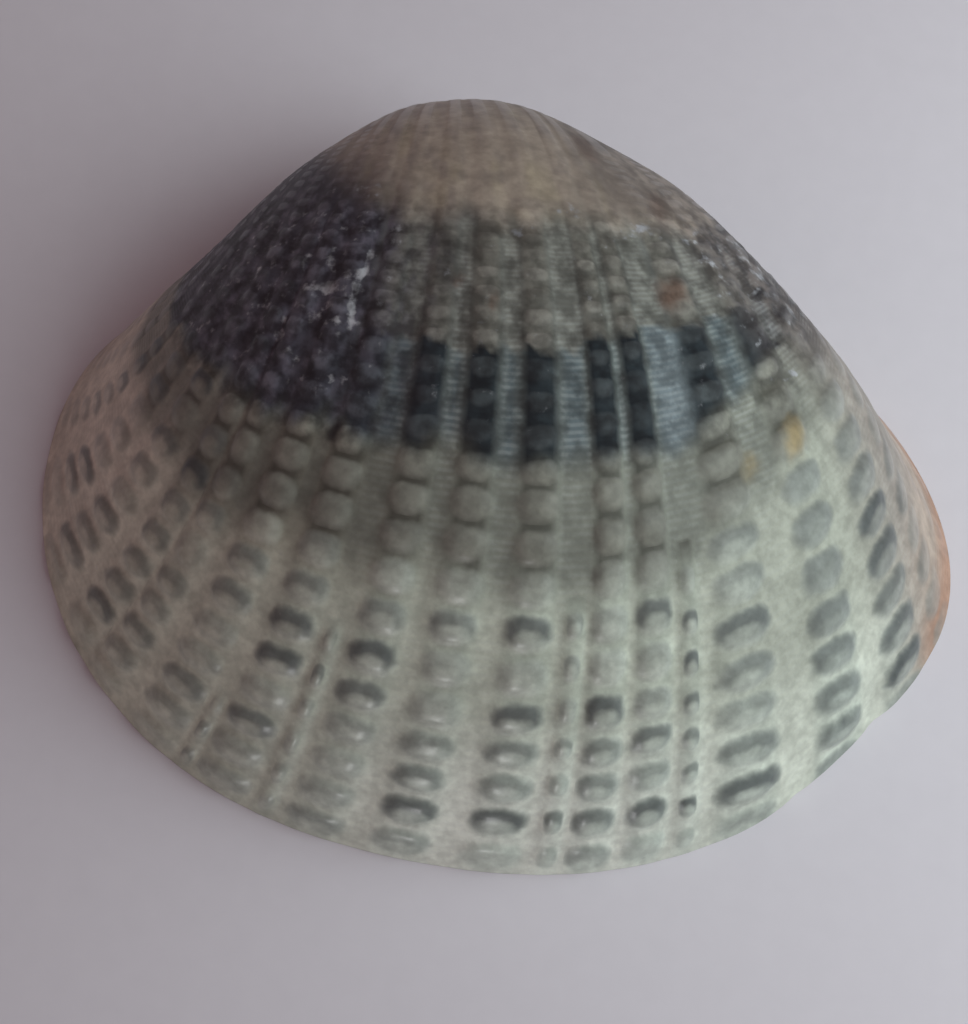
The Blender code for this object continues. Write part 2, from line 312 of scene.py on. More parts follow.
def rib_layout(place, turn):
    """For each point: how far it is from the middle of its nearest rib in half widths, its row
    number there with the fraction from nodule to nodule, the rib's number, how far the rib has
    grown in (1 is fully), and how high the flat-topped ribs stand, the highest counting."""
    ribs = [(*rib, FAR) for rib in RIBS]
    ribs += [(*riblet[:4], 0.0, riblet[4]) for riblet in RIBLETS]
    nearest = np.full(place.shape, FAR)
    side = np.full(place.shape, FAR)
    row = np.zeros(place.shape)
    number = np.zeros(place.shape, int)
    grown = np.ones(place.shape)
    raised = np.zeros(place.shape)
    for k, (at, width, spread, late, slant, start) in enumerate(ribs):
        signed = (place - at) / (0.5 * width)
        gap = np.abs(place - at) - 0.5 * width
        grown_here = ease((start, start - RIBLET_GROWTH), turn)
        closer = (gap < nearest) & (grown_here > 0.0)
        raised = np.maximum(raised, grown_here / (1.0 + signed**6))
        slanted = 0.5 * slant * ease(SLANT_TURNS, turn) * np.clip(signed, -SLANT_REACH, SLANT_REACH)
        row_here = row_count((turn + slanted - late) / spread)
        nearest = np.where(closer, gap, nearest)
        side = np.where(closer, np.abs(signed), side)
        row = np.where(closer, row_here, row)
        number = np.where(closer, k, number)
        grown = np.where(closer, grown_here, grown)
    wander = ROW_WANDER * (speckle(number, turn, ROWS_WANDER) - 0.5)
    return side, row + wander + 0.5, number, grown, raised


def columns():
    """Places along the margin: several on each rib, a few in each gap, and even ones at the hinge."""
    ribs = [(at, width, COLUMNS_PER_RIB) for at, width, *_ in RIBS]
    ribs += [(at, width, COLUMNS_PER_RIBLET) for at, width, *_ in RIBLETS]
    ribs.sort()
    places = []
    for at, width, count in ribs:
        places.append(np.linspace(at - 0.5 * width, at + 0.5 * width, count))
    ends = [(at - 0.5 * width, at + 0.5 * width) for at, width, _ in ribs]
    for (_, low), (high, _) in zip(ends, ends[1:]):
        count = max(2, round((high - low) / GAP_STEP))
        places.append(np.linspace(low, high, count + 2)[1:-1])
    hinge = np.linspace(ends[-1][1], 1.0 + ends[0][0], HINGE_COLUMNS + 2)[1:-1]
    return np.sort(np.concatenate(places + [np.mod(hinge, 1.0)]))


def across_nodule(side, row):
    """0 in the middle of a nodule and 1 at its edge: square at the end towards the beak, round at
    the end towards the margin."""
    off = np.mod(row, 1.0) - 0.5
    lower = side ** NODULE_ROUND[0] + np.abs(off / NODULE_REACH[0]) ** NODULE_ROUND[1]
    upper = side ** NODULE_SQUARE[0] + np.abs(off / NODULE_REACH[1]) ** NODULE_SQUARE[1]
    return lower + (upper - lower) * ease(NODULE_HALVES_MEET, off)


def worn_layer(place, turn):
    """1 where the shell's outer layer is worn off towards the umbo, with a torn edge."""
    wobble = speckle(place, turn, BROAD_TEAR) + 0.7 * speckle(place, turn, FINE_TEAR) - 0.85
    top = WORN_TURN + WORN_REAR_RISE * ease(WORN_REAR_PLACES, place) + WORN_RAGGED * wobble
    return ease((top - WORN_SOFT, top + WORN_SOFT), turn) * ease(WORN_PLACES, place)


def rear_slope(place, turn):
    """1 on the rear slope below the beak, where ribs and nodules are rubbed away."""
    leaning = place + SLOPE_LEAN * (turn - SLOPE_TURN)
    return ease(SLOPE_PLACES, leaning) * ease(SLOPE_TURNS, turn)


def chance_at(number, row, seed):
    """A random value from 0 to 1 for each nodule, the same all over it."""
    chances = np.random.default_rng(seed).random((MOST_ROWS, MOST_ROWS))
    return chances[number, np.clip(row.astype(int), 0, MOST_ROWS - 1)]


def relief(place, turn):
    """Height over the plain shell: low flat-topped ribs, a pillow for each nodule, both fading
    towards the rim and the worn umbo, with low uneven growth ridges and a step where the outer
    layer ends."""
    side, row, number, grown, raised = rib_layout(place, turn)
    shrunk = np.where(number >= len(RIBS), RIBLET_NODULES, 1.0)
    pillow = ease(NODULE_FOOT, across_nodule(side, row) * shrunk)
    small = np.where(number >= len(RIBS), RIBLET_HEIGHT, 1.0) * grown
    worn = UMBO_WORN + (1.0 - UMBO_WORN) * ease(UMBO_TURNS, turn)
    worn = worn * (1.0 - SLOPE_RUBBED * rear_slope(place, turn))
    rim = RIM_WORN + (1.0 - RIM_WORN) * ease(RIM_TURNS, turn)
    fade = ease(RIBS_FADE_FRONT, place) * ease(RIBS_FADE_REAR, place)
    fade = ENDS_WORN + (1.0 - ENDS_WORN) * fade
    height = RIB_HEIGHT * size_at(turn) ** RIB_SHRINKING * worn * rim * fade
    uneven = NODULE_LEAST + NODULE_CHANCE * chance_at(number, row, HEIGHT_SEED)
    shape = RIB_BETWEEN_NODULES * raised + (1.0 - RIB_BETWEEN_NODULES) * pillow * uneven * small
    ridges = RIDGE_HEIGHT * (speckle(place, turn, GROWTH_RIDGES) - 0.5) * ease(RIDGE_TURNS, turn)
    pits = PIT_HEIGHT * (speckle(place, turn, PITTED) - 0.5) * ease(PIT_TURNS, turn)
    step = -WORN_DEPTH * worn_layer(place, turn)
    fuller = np.zeros_like(place)
    for at, reach, full in SHOULDERS:
        fuller = fuller + full * np.exp(-(((place - at) / reach) ** 2))
    fuller = fuller * ease(SHOULDER_RISE, turn) * ease(SHOULDER_FALL, turn)
    return height * shape + (ridges + pits) * size_at(turn) + step + fuller


def rim_loss(place, turn):
    """How far the rim is worn back: a bell curve at each loss, fading up the valve."""
    loss = np.zeros_like(place)
    for at, reach, depth in RIM_LOSSES:
        loss = loss + depth * np.exp(-(((place - at) / reach) ** 2))
    return loss * ease(RIM_LOSS_TURNS, turn)


def outside(place):
    """Loops of the outside from the beak to the margin: turned loops, moved out along their own
    normals by the relief. Returns the points and each one's place and turn."""
    fine = np.linspace(0.0, FINE_TURN, FINE_LOOPS)
    coarse = np.linspace(FINE_TURN, COARSE_TURN, COARSE_LOOPS + 1)[1:]
    umbo = np.linspace(COARSE_TURN, LAST_TURN, UMBO_LOOPS + 1)[1:]
    turns = np.concatenate([fine, coarse, umbo])[::-1]
    turn, at = np.meshgrid(turns, place, indexing="ij")
    loops = turned(margin(sway(at, turn), rim_loss(at, turn)), turn)
    down = np.gradient(loops, axis=0)
    round_about = 0.5 * (np.roll(loops, -1, axis=1) - np.roll(loops, 1, axis=1))
    normal = np.cross(down, round_about)
    normal[..., 2] *= ease(LEVEL_RELIEF, turn)
    normal /= np.linalg.norm(normal, axis=-1, keepdims=True)
    loops = loops + normal * relief(at, turn)[..., None]
    middle = loops.mean(axis=1, keepdims=True)
    near_tip = np.clip((turn - ROUNDED_TURN) / (LAST_TURN - ROUNDED_TURN), 0.0, ROUNDED_MOST)
    loops = middle + (loops - middle) * np.sqrt(1.0 - near_tip**2)[..., None]
    return loops, at, turn


def plate_share(place):
    """1 along the hinge plate, 0 where the wall rises straight from the rim."""
    return np.maximum(ease(PLATE_FRONT, place), ease(PLATE_REAR, place))


def teeth(place, across):
    """Height of the hinge teeth on the plate: three cardinals under the beak and a lateral, each
    a bell curve across its length."""
    signed = np.where(place > 0.5, place - 1.0, place)
    start, end = TEETH_ACROSS
    ridge = ease(start, across) * ease(end, across)
    height = np.zeros_like(place)
    for at in CARDINAL_TEETH:
        height = np.maximum(height, np.exp(-(((signed - at) / CARDINAL_WIDTH) ** 2)) * ridge)
    at, reach = LATERAL_TOOTH
    middle, half = LATERAL_ACROSS
    lateral = np.exp(-(((signed - at) / reach) ** 4)) * np.exp(-(((across - middle) / half) ** 2))
    return TOOTH_HEIGHT * np.maximum(height, LATERAL_SHARE * lateral)


def inside(place):
    """Loops of the inside: the flat rim, the hinge plate with its teeth, its lip, then the hollow
    as turned loops of the plate's inner edge. Returns the points and each one's turn."""
    share = plate_share(place)
    rim = margin(place, np.full_like(place, RIM_WIDTH))
    base = margin(place, RIM_WIDTH + PLATE_WIDTH * share, share)
    loops = [np.concatenate([rim, np.zeros((len(place), 1))], axis=1)]
    turns = [np.zeros(len(place))]
    steps = [(across, 0.0) for across in np.linspace(0.0, 1.0, PLATE_LOOPS)]
    steps += [(1.0, PLATE_LIP * part) for part in (0.5, 1.0)]
    edge, over_plate, over_lip = WALL_TURNS
    for across, lip in steps:
        wall_turn = HOLLOW_FIRST_TURN * (edge + over_plate * across + over_lip * lip / PLATE_LIP)
        wall = turned(rim, np.full_like(place, wall_turn), WALL_GROWTH)
        flat = rim + (base - rim) * (PLATE_SIDE + (1.0 - PLATE_SIDE) * across)
        depth = PLATE_DEPTH + lip - teeth(place, np.full_like(place, across))
        plate = np.concatenate([flat, depth[:, None]], axis=1)
        loops.append(wall + (plate - wall) * share[:, None])
        turns.append(np.full_like(place, wall_turn))
    first = HOLLOW_FIRST_TURN + (HOLLOW_TURN_AT_PLATE - HOLLOW_FIRST_TURN) * share
    for part in np.linspace(0.0, 1.0, HOLLOW_LOOPS) ** HOLLOW_CROWDING:
        hollow_turn = first + (HOLLOW_LAST_TURN - first) * part
        loops.append(turned(base, hollow_turn, WALL_GROWTH))
        turns.append(hollow_turn)
    return np.array(loops), np.array(turns)


def inner_marks(place, turn):
    """How strongly the inside is marked: faintly outside the line where the mantle was fixed, with
    its bay at the rear, and fully on the two muscle scars that the line joins."""
    bay_at, bay_reach, bay_depth = MANTLE_BAY
    line = MANTLE_TURN + bay_depth * np.exp(-(((place - bay_at) / bay_reach) ** 4))
    (front, _, _, _), (rear, _, _, _) = MUSCLE_SCARS
    cover = MANTLE_MARKED * ease((line + SOFT_EDGE, line - SOFT_EDGE), turn)
    cover = cover * ease((front - SOFT_EDGE, front), place)
    cover = cover * ease((rear + SOFT_EDGE, rear), place)
    for at, middle, reach, rise in MUSCLE_SCARS:
        away = np.hypot((place - at) / reach, (turn - middle) / rise)
        cover = np.maximum(cover, ease(SCAR_EDGE, away))
    return cover


def loft(name, loops):
    """Closed mesh through the loops in turn: quads between neighbours, a fan at both ends."""
    count, around = loops.shape[:2]
    ends = np.stack([loops[0].mean(axis=0), loops[-1].mean(axis=0)])
    vertices = np.concatenate([loops.reshape(-1, 3), ends])
    row = np.arange(count - 1)[:, None] * around
    here = np.arange(around)[None, :]
    ahead = (here + 1) % around
    quads = np.stack([row + here, row + around + here, row + around + ahead, row + ahead], axis=-1)
    last = (count - 1) * around
    first_fan = np.stack([np.full(around, count * around), here[0], ahead[0]], axis=-1)
    last_fan = np.stack([np.full(around, count * around + 1), last + ahead[0], last + here[0]], axis=-1)
    faces = quads.reshape(-1, 4).tolist() + first_fan.tolist() + last_fan.tolist()
    mesh = bpy.data.meshes.new(name)
    mesh.from_pydata(vertices.tolist(), [], faces)
    mesh.update()
    return mesh


def put(mesh, name, values, first=0):
    """Stores one number, or one colour, per vertex under a name, from the first one on."""
    kind, key, width = ("FLOAT", "value", 1) if values.ndim == 2 else ("FLOAT_COLOR", "color", 4)
    whole = np.zeros((len(mesh.vertices), width), np.float32)
    whole[first : first + values.shape[0] * values.shape[1]] = values.reshape(-1, width)
    attribute = mesh.attributes.new(name, kind, "POINT")
    attribute.data.foreach_set(key, whole.ravel())


def linear(hex_colour):
    """sRGB hex colour as linear red, green, blue and alpha."""
    parts = np.array([int(hex_colour[i : i + 2], 16) for i in (1, 3, 5)]) / 255.0
    made = np.where(parts <= 0.04045, parts / 12.92, ((parts + 0.055) / 1.055) ** 2.4)
    return (*made.tolist(), 1.0)


def add(tree, kind, links, out=0, **settings):
    """Adds a node, sets its properties and its inputs by number or name, and gives its output."""
    made = tree.nodes.new(kind)
    for key, value in settings.items():
        setattr(made, key, value)
    for key, value in links.items():
        if isinstance(value, bpy.types.NodeSocket):
            tree.links.new(value, made.inputs[key])
        else:
            made.inputs[key].default_value = value
    return made.outputs[out]


def calc(tree, operation, *values):
    """One sum on values or sockets."""
    return add(tree, "ShaderNodeMath", dict(enumerate(values)), operation=operation)


def ramp(tree, value, start, end, low=0.0, high=1.0):
    """A soft step from low to high between start and end."""
    links = {0: value, 1: start, 2: end, 3: low, 4: high}
    return add(tree, "ShaderNodeMapRange", links, interpolation_type="SMOOTHSTEP")


def mix(tree, share, first, second, blend="MIX"):
    """Two colours mixed."""
    links = {0: share, 6: first, 7: second}
    return add(tree, "ShaderNodeMix", links, 2, data_type="RGBA", blend_type=blend)


def stored(tree, name, out):
    """A value or colour that is stored on the mesh."""
    return add(tree, "ShaderNodeAttribute", {}, out, attribute_name=name)


def noise(tree, spot, scale, detail, out=0):
    """Smooth noise with finer noise in it."""
    links = {"Vector": spot, "Scale": scale, "Detail": detail}
    return add(tree, "ShaderNodeTexNoise", links, out)


def start_material(name):
    """A material with only its shader and its output, and the shader itself."""
    material = bpy.data.materials.new(name)
    material.use_nodes = True
    return material, material.node_tree, material.node_tree.nodes["Principled BSDF"]


# The materials' noises: how many grains per metre, and their detail.
CLOUDS = (420.0, 5.0)
GRAINS = (2600.0, 3.0)
BLOTCHES = (1350.0, 3.0)
FLAKES = (2100.0, 5.0)
WARPS = (1150.0, 2.0)
PORCELAIN_CLOUDS = (160.0, 4.0)
FIBRES = (900.0, 3.0)
# Growth lines per turn, times two pi.
LINES = 520.0
# How far the noise bends a nodule's edge along and across the rib.
BENT_ALONG = 0.24
BENT_ACROSS = 0.45
# A nodule's colour: how blunt it is at the square end, and between which distances it fades out.
KNOB_SQUARE = (3.0, 2.6)
KNOB_FADE = (1.9, 0.4)
# The dark arch round a nodule's pale core: how far below the middle the core lies, how tall it is,
# between which distances from it the arch darkens, and between which rows it starts.
CORE_BELOW = 0.14
CORE_TALL = 0.30
ARCH = (-0.15, 0.8, 0.1, 1.0)
ARCH_ROWS = (-0.42, -0.1)
HALVES_MEET = (-0.08, 0.08)
# Where grooves start beside a rib, and how the pale lines there are bent, broken up and shaped.
GROOVE = (0.95, 1.3)
LINES_BENT = 0.012
LINES_BROKEN = (0.34, 0.66, 0.3, 1.0)
LINE = (-0.9, 1.0)
# Chalky flecks: how much the noise counts, and from where to where they cover, up to how much.
FLAKED = 2.2
CHALKED = (0.42, 0.92, 0.0, 0.9)
# How much darker and paler the noises make the shell.
FINE_SHADES = (0.3, 0.7, 0.90, 1.08)
BROAD_SHADES = (0.3, 0.7, 0.92, 1.06)
BLOTCHED = (0.34, 0.68)
BLOTCHED_DARK = -0.6
BLOTCHED_PALE = 1.1
# Roughness of the ground and of a nodule, of glazed and of marked porcelain, and of paper.
SHELL_ROUGH = (0.50, 0.33)
PORCELAIN_ROUGH = (0.26, 0.40)
PORCELAIN_MARKED = 0.7
PAPER_ROUGH = 0.85
# Fine bumps: growth lines up to a turn, lower on the ribs than in the grooves, and the grain.
LINES_RAISED_TURNS = (1.1, 0.85)
LINES_RAISED = (0.1, 0.5)
GRAIN_RAISED = 0.8
BUMP_STRENGTH = 0.3
BUMP_HEIGHT = 0.03 * MM
SHELL_IOR = 1.53


def weathered_shell():
    """Aragonite shell, grown in layers and rolled on a beach: pale grooves with fine growth lines,
    glossier see-through nodules with a dark arch towards the beak, slate and tan stains that the
    sea has blotched, chalky flecks where the surface is chipped."""
    material, tree, shader = start_material("weathered_aragonite_shell")
    names = (
        "rib_side", "row", "turn", "nodule_ring", "nodule_shown", "nodule_small", "groove_lines",
        "blotched", "chalky",
    )
    side, row, turn, strength, shown, small, lined, blotched, chalky = [
        stored(tree, name, 2) for name in names
    ]
    ground = stored(tree, "ground_colour", 0)
    knob = stored(tree, "nodule_colour", 0)
    spot = add(tree, "ShaderNodeTexCoord", {}, 3)
    cloud, grain, blotch, flake = [
        noise(tree, spot, *settings) for settings in (CLOUDS, GRAINS, BLOTCHES, FLAKES)
    ]
    warp = noise(tree, spot, *WARPS, 1)
    parts = add(tree, "ShaderNodeSeparateColor", {"Color": warp}).node.outputs

    off = calc(tree, "SUBTRACT", calc(tree, "FRACT", row), 0.5)
    off = calc(tree, "MULTIPLY_ADD", calc(tree, "SUBTRACT", parts[0], 0.5), BENT_ALONG, off)
    side = calc(tree, "MULTIPLY_ADD", calc(tree, "SUBTRACT", parts[1], 0.5), BENT_ACROSS, side)
    side = calc(tree, "MAXIMUM", side, 0.0)
    low_reach = calc(tree, "ABSOLUTE", calc(tree, "DIVIDE", off, NODULE_REACH[0]))
    high_reach = calc(tree, "ABSOLUTE", calc(tree, "DIVIDE", off, NODULE_REACH[1]))
    lower = calc(tree, "POWER", side, NODULE_ROUND[0])
    lower = calc(tree, "ADD", lower, calc(tree, "POWER", low_reach, NODULE_ROUND[1]))
    upper = calc(tree, "POWER", side, KNOB_SQUARE[0])
    upper = calc(tree, "ADD", upper, calc(tree, "POWER", high_reach, KNOB_SQUARE[1]))
    edge = add(tree, "ShaderNodeMix", {0: ramp(tree, off, *HALVES_MEET), 2: lower, 3: upper})
    edge = calc(tree, "MULTIPLY", edge, small)
    on_nodule = ramp(tree, edge, *KNOB_FADE)
    below = calc(tree, "DIVIDE", calc(tree, "ADD", off, CORE_BELOW), CORE_TALL)
    from_core = calc(tree, "MULTIPLY_ADD", side, side, calc(tree, "MULTIPLY", below, below))
    arch = calc(tree, "MULTIPLY", ramp(tree, from_core, *ARCH), ramp(tree, off, *ARCH_ROWS))
    dark = calc(tree, "MULTIPLY", calc(tree, "MULTIPLY", arch, strength), on_nodule)

    knobbed = mix(tree, calc(tree, "MULTIPLY", on_nodule, shown), ground, knob)
    ringed = mix(tree, dark, knobbed, linear("#394043"))
    wave_at = calc(tree, "MULTIPLY_ADD", cloud, LINES_BENT, turn)
    stripe = calc(tree, "SINE", calc(tree, "MULTIPLY", wave_at, LINES))
    in_groove = ramp(tree, side, *GROOVE)
    patchy = ramp(tree, blotch, *LINES_BROKEN)
    stripe_share = calc(tree, "MULTIPLY", calc(tree, "MULTIPLY", patchy, in_groove), lined)
    pale_stripe = calc(tree, "MULTIPLY", stripe_share, ramp(tree, stripe, *LINE))
    striped = mix(tree, pale_stripe, ringed, linear("#a3aaa7"))
    chips = calc(tree, "MULTIPLY_ADD", calc(tree, "SUBTRACT", flake, 0.5), FLAKED, chalky)
    chalked = mix(tree, ramp(tree, chips, *CHALKED), striped, linear("#8b8e91"))
    fine = ramp(tree, grain, *FINE_SHADES)
    broad = ramp(tree, cloud, *BROAD_SHADES)
    darkest = calc(tree, "MULTIPLY_ADD", blotched, BLOTCHED_DARK, 1.0)
    palest = calc(tree, "MULTIPLY_ADD", blotched, BLOTCHED_PALE, 1.0)
    uneven = calc(tree, "MULTIPLY", broad, ramp(tree, blotch, *BLOTCHED, darkest, palest))
    colour = mix(tree, 1.0, chalked, calc(tree, "MULTIPLY", fine, uneven), "MULTIPLY")
    tree.links.new(colour, shader.inputs["Base Color"])

    tree.links.new(ramp(tree, on_nodule, 0.0, 1.0, *SHELL_ROUGH), shader.inputs["Roughness"])
    young = ramp(tree, turn, *LINES_RAISED_TURNS)
    raised = calc(tree, "MULTIPLY", young, ramp(tree, in_groove, 0.0, 1.0, *LINES_RAISED))
    lines = calc(tree, "MULTIPLY", stripe, raised)
    height = calc(tree, "MULTIPLY_ADD", grain, GRAIN_RAISED, lines)
    bump = {"Height": height, "Strength": BUMP_STRENGTH, "Distance": BUMP_HEIGHT}
    bump = add(tree, "ShaderNodeBump", bump)
    tree.links.new(bump, shader.inputs["Normal"])
    shader.inputs["IOR"].default_value = SHELL_IOR
    return material


def porcelain_shell():
    """The shell's inner layer: dense and smooth like glazed porcelain, white with a cream tint,
    greyer and a little rougher where the mantle and the muscles were fixed."""
    material, tree, shader = start_material("porcelain_inner_shell")
    spot = add(tree, "ShaderNodeTexCoord", {}, 3)
    cloud = noise(tree, spot, *PORCELAIN_CLOUDS)
    marked = stored(tree, "inner_marked", 2)
    glazed = mix(tree, cloud, linear("#e6e0d6"), linear("#f4f1ea"))
    colour = mix(tree, calc(tree, "MULTIPLY", marked, PORCELAIN_MARKED), glazed, linear("#c9c0bb"))
    tree.links.new(colour, shader.inputs["Base Color"])
    tree.links.new(ramp(tree, marked, 0.0, 1.0, *PORCELAIN_ROUGH), shader.inputs["Roughness"])
    shader.inputs["IOR"].default_value = SHELL_IOR
    return material


def paper():
    """Plain matt paper, pale grey with a breath of lilac."""
    material, tree, shader = start_material("plain_paper")
    spot = add(tree, "ShaderNodeTexCoord", {}, 3)
    fibre = noise(tree, spot, *FIBRES)
    colour = mix(tree, fibre, linear("#cfccd1"), linear("#d4d1d6"))
    tree.links.new(colour, shader.inputs["Base Color"])
    shader.inputs["Roughness"].default_value = PAPER_ROUGH
    return material


def blend(under, over, share):
    """Colours mixed: the one over covers its share of the one under."""
    return under + (np.array(linear(over)) - under) * share[..., None]


# Marks on the shell: place and turn of both ends, half width in mm, and how strong.
PALE_MARKS = (
    (0.346, 0.8, 0.342, 0.87, 0.2, 0.7), (0.342, 0.87, 0.347, 0.96, 0.22, 0.8),
    (0.3, 0.866, 0.325, 0.872, 0.26, 0.7), (0.3, 0.812, 0.345, 0.8, 0.14, 0.6),
    (0.268, 0.86, 0.27, 0.92, 0.14, 0.4), (0.322, 0.9, 0.338, 0.905, 0.2, 0.5),
    (0.556, 1.055, 0.578, 1.062, 0.26, 0.7), (0.503, 1.1, 0.516, 1.112, 0.26, 0.6),
    (0.462, 1.045, 0.474, 1.048, 0.2, 0.5), (0.625, 1.048, 0.634, 1.06, 0.15, 0.7),
    (0.612, 1.025, 0.616, 1.032, 0.14, 0.7), (0.618, 0.966, 0.624, 0.97, 0.16, 0.7),
    (0.514, 0.9, 0.518, 0.906, 0.24, 0.5), (0.648, 0.842, 0.658, 0.846, 0.12, 0.8),
    (0.628, 0.735, 0.64, 0.738, 0.12, 0.7), (0.642, 0.642, 0.652, 0.646, 0.12, 0.6),
    (0.285, 1.13, 0.34, 1.14, 0.3, 0.35), (0.6, 0.822, 0.608, 0.824, 0.16, 0.5),
)
DARK_MARKS = (
    (0.654, 0.838, 0.662, 0.842, 0.12, 0.9), (0.636, 0.728, 0.648, 0.714, 0.14, 0.8),
    (0.664, 0.762, 0.676, 0.77, 0.16, 0.6), (0.628, 0.066, 0.629, 0.076, 0.16, 0.6),
    (0.356, 0.6, 0.358, 0.612, 0.24, 0.8), (0.408, 0.94, 0.412, 0.99, 0.35, 0.5),
)
BROWN_MARKS = (
    (0.572, 0.885, 0.582, 0.9, 0.42, 0.9), (0.555, 1.36, 0.56, 1.44, 0.45, 0.6),
    (0.6, 1.13, 0.61, 1.165, 0.4, 0.6), (0.445, 0.87, 0.447, 0.89, 0.15, 0.6),
    (0.418, 0.915, 0.422, 0.925, 0.15, 0.5), (0.7, 1.3, 0.72, 1.36, 0.5, 0.6),
)
YELLOW_MARKS = ((0.63, 0.535, 0.634, 0.545, 0.45, 0.55), (0.599, 0.535, 0.6, 0.54, 0.35, 0.3))
# How long one place and one turn are near the margin.
MM_PER_PLACE = 92.0
MM_PER_TURN = 21.0

# Where the tones lie: each pair is the place or the turn where a tone starts and where it is full.
RIB_TONE = (1.3, 0.8)
SOFT_RIB_TONE = (1.75, 0.65)
REAR_HALF = (0.53, 0.60)
REAR_NODULES = (0.56, 0.62)
# The low and bright tones are partly the shell's own paler colour and partly painted light on the low
# slope.
LOW_TURNS = (0.27, 0.08)
LOW_PLACES = (0.36, 0.46)
LOW_REAR_NODULES = (0.54, 0.58)
BRIGHT_FRONT = (0.37, 0.47)
BRIGHT_REAR = (0.60, 0.52)
BEHIND = (0.64, 0.70)
FRONT = (0.43, 0.26)
FRONT_TIP = (0.29, 0.21)
OLIVE_TURNS = (0.30, 0.50)
OLIVE_FRONT = (0.24, 0.34)
OLIVE_REAR = (0.47, 0.36)
DUSK_TURNS = (0.375, 0.475)
DUSK_REAR = (0.69, 0.63)
SLATE_TURNS = (0.585, 0.635)
SLATE_REAR = (0.69, 0.65)
# The dusk and the slate band climb by this many turns in each of two steps towards the rear.
BAND_CLIMB = 0.05
BAND_STEPS = ((0.555, 0.59), (0.60, 0.64))
WIDE_GROOVE = ((0.545, 0.555), (0.575, 0.565))
MOTTLED = (0.5, 0.8)
PATCH_TURNS = (0.60, 0.66)
PATCH_PLACES = (0.43, 0.33)
PATCH_MOTTLED = (0.45, 0.85)
TEAL_TURNS = (0.80, 0.68)
TEAL_PLACES = (0.30, 0.38)
SLOPE_TOP = (0.66, 0.74)
CAP_TURNS = (1.03, 1.16)
CAP_PLACES = (0.27, 0.42)
CAP_LEAN = 0.5
CAP_TURN = 1.15
CAP_YELLOW = (0.5, 0.9)
CAP_GREY = (0.45, 0.85)
CAP_REAR = (0.48, 0.58)
REAR_PLACES = (0.66, 0.72)
REAR_TURNS = (0.30, 0.10)
REAR_EDGE_PLACES = (0.67, 0.70)
REAR_EDGE_TURNS = (0.09, 0.02)

# The nodules' looks: where they shrink, where the last ones are, and where they fade at both ends.
SHRINKING = (0.56, 0.66)
LAST_NODULES = (1.14, 1.04)
NODULES_FRONT = (0.20, 0.27)
NODULES_REAR = (0.72, 0.68)
# How dark their edges are by row, and the share of that from each of these ribs on.
RING_BY_ROW = (0.0, 0.45, 1.0, 0.8, 0.65, 0.85, 0.9, 0.75, 0.45, 0.22, 0.1, 0.0)
RING_SHARES = ((0, 0.35), (4, 0.75), (9, 1.0), (16, 0.8), (len(RIBS), 0.9))
DARKEST_RING = 0.80
# The ribs near the front end that have dark edges on higher rows too.
FLANK_RIBS = (3, 6)
FLANK_ROWS = (1, 5, 14, 17)
FLANK_RINGS = (0.2, 0.8, 0.8, 0.0)
# Pale growth lines in the grooves: a little everywhere, more in the slate band.
LINED = 0.12
LINED_BAND = 0.05
LINED_BAND_TURNS = ((0.50, 0.60), (0.86, 0.80))
LINED_TURNS = (1.15, 0.95)
LINED_FRONT = (0.36, 0.42)
LINED_REAR = (0.59, 0.63)
# Where the stains are blotched and chalky.
STAINED = (0.55, 0.64)
CHALKY = (0.60, 0.68)
STAINS_END = (1.16, 1.04)
STAINS_REAR = (0.72, 0.66)
BLOTCHED_PATCH = (0.42, 0.34)
CHALKY_PATCH = ((0.40, 0.34), (0.14, 0.20))
CHALKY_RIBS = (0.34, 0.40)
CHALKY_RIB_TONE = (1.2, 0.6)
UPPER_SLOPE = (0.64, 0.72)
CHALKY_SLOPE = ((0.66, 0.74), (1.2, 1.0))


def marks(place, turn, strokes):
    """How much of each point the strokes cover: a bell curve of the distance to each stroke."""
    cover = np.zeros(place.shape)
    size = size_at(turn)
    ragged = 0.8 + 0.5 * speckle(place, turn, RAGGED_MARKS)
    for first, start, last, stop, half, strength in strokes:
        along = np.array([(last - first) * MM_PER_PLACE, (stop - start) * MM_PER_TURN])
        x = (place - first) * MM_PER_PLACE
        y = (turn - start) * MM_PER_TURN
        part = np.clip((x * along[0] + y * along[1]) / (along @ along), 0.0, 1.0)
        away = np.hypot(x - part * along[0], y - part * along[1]) * size * ragged / half
        cover = np.maximum(cover, strength * np.exp(-(away**3)))
    return cover


def torn(place, turn):
    """How far the tones' edges are shifted at each point, in turns."""
    broad = 0.05 * (speckle(place, turn, BROAD_TEAR) - 0.5)
    return broad + 0.035 * (speckle(place, turn, FINE_TEAR) - 0.5)


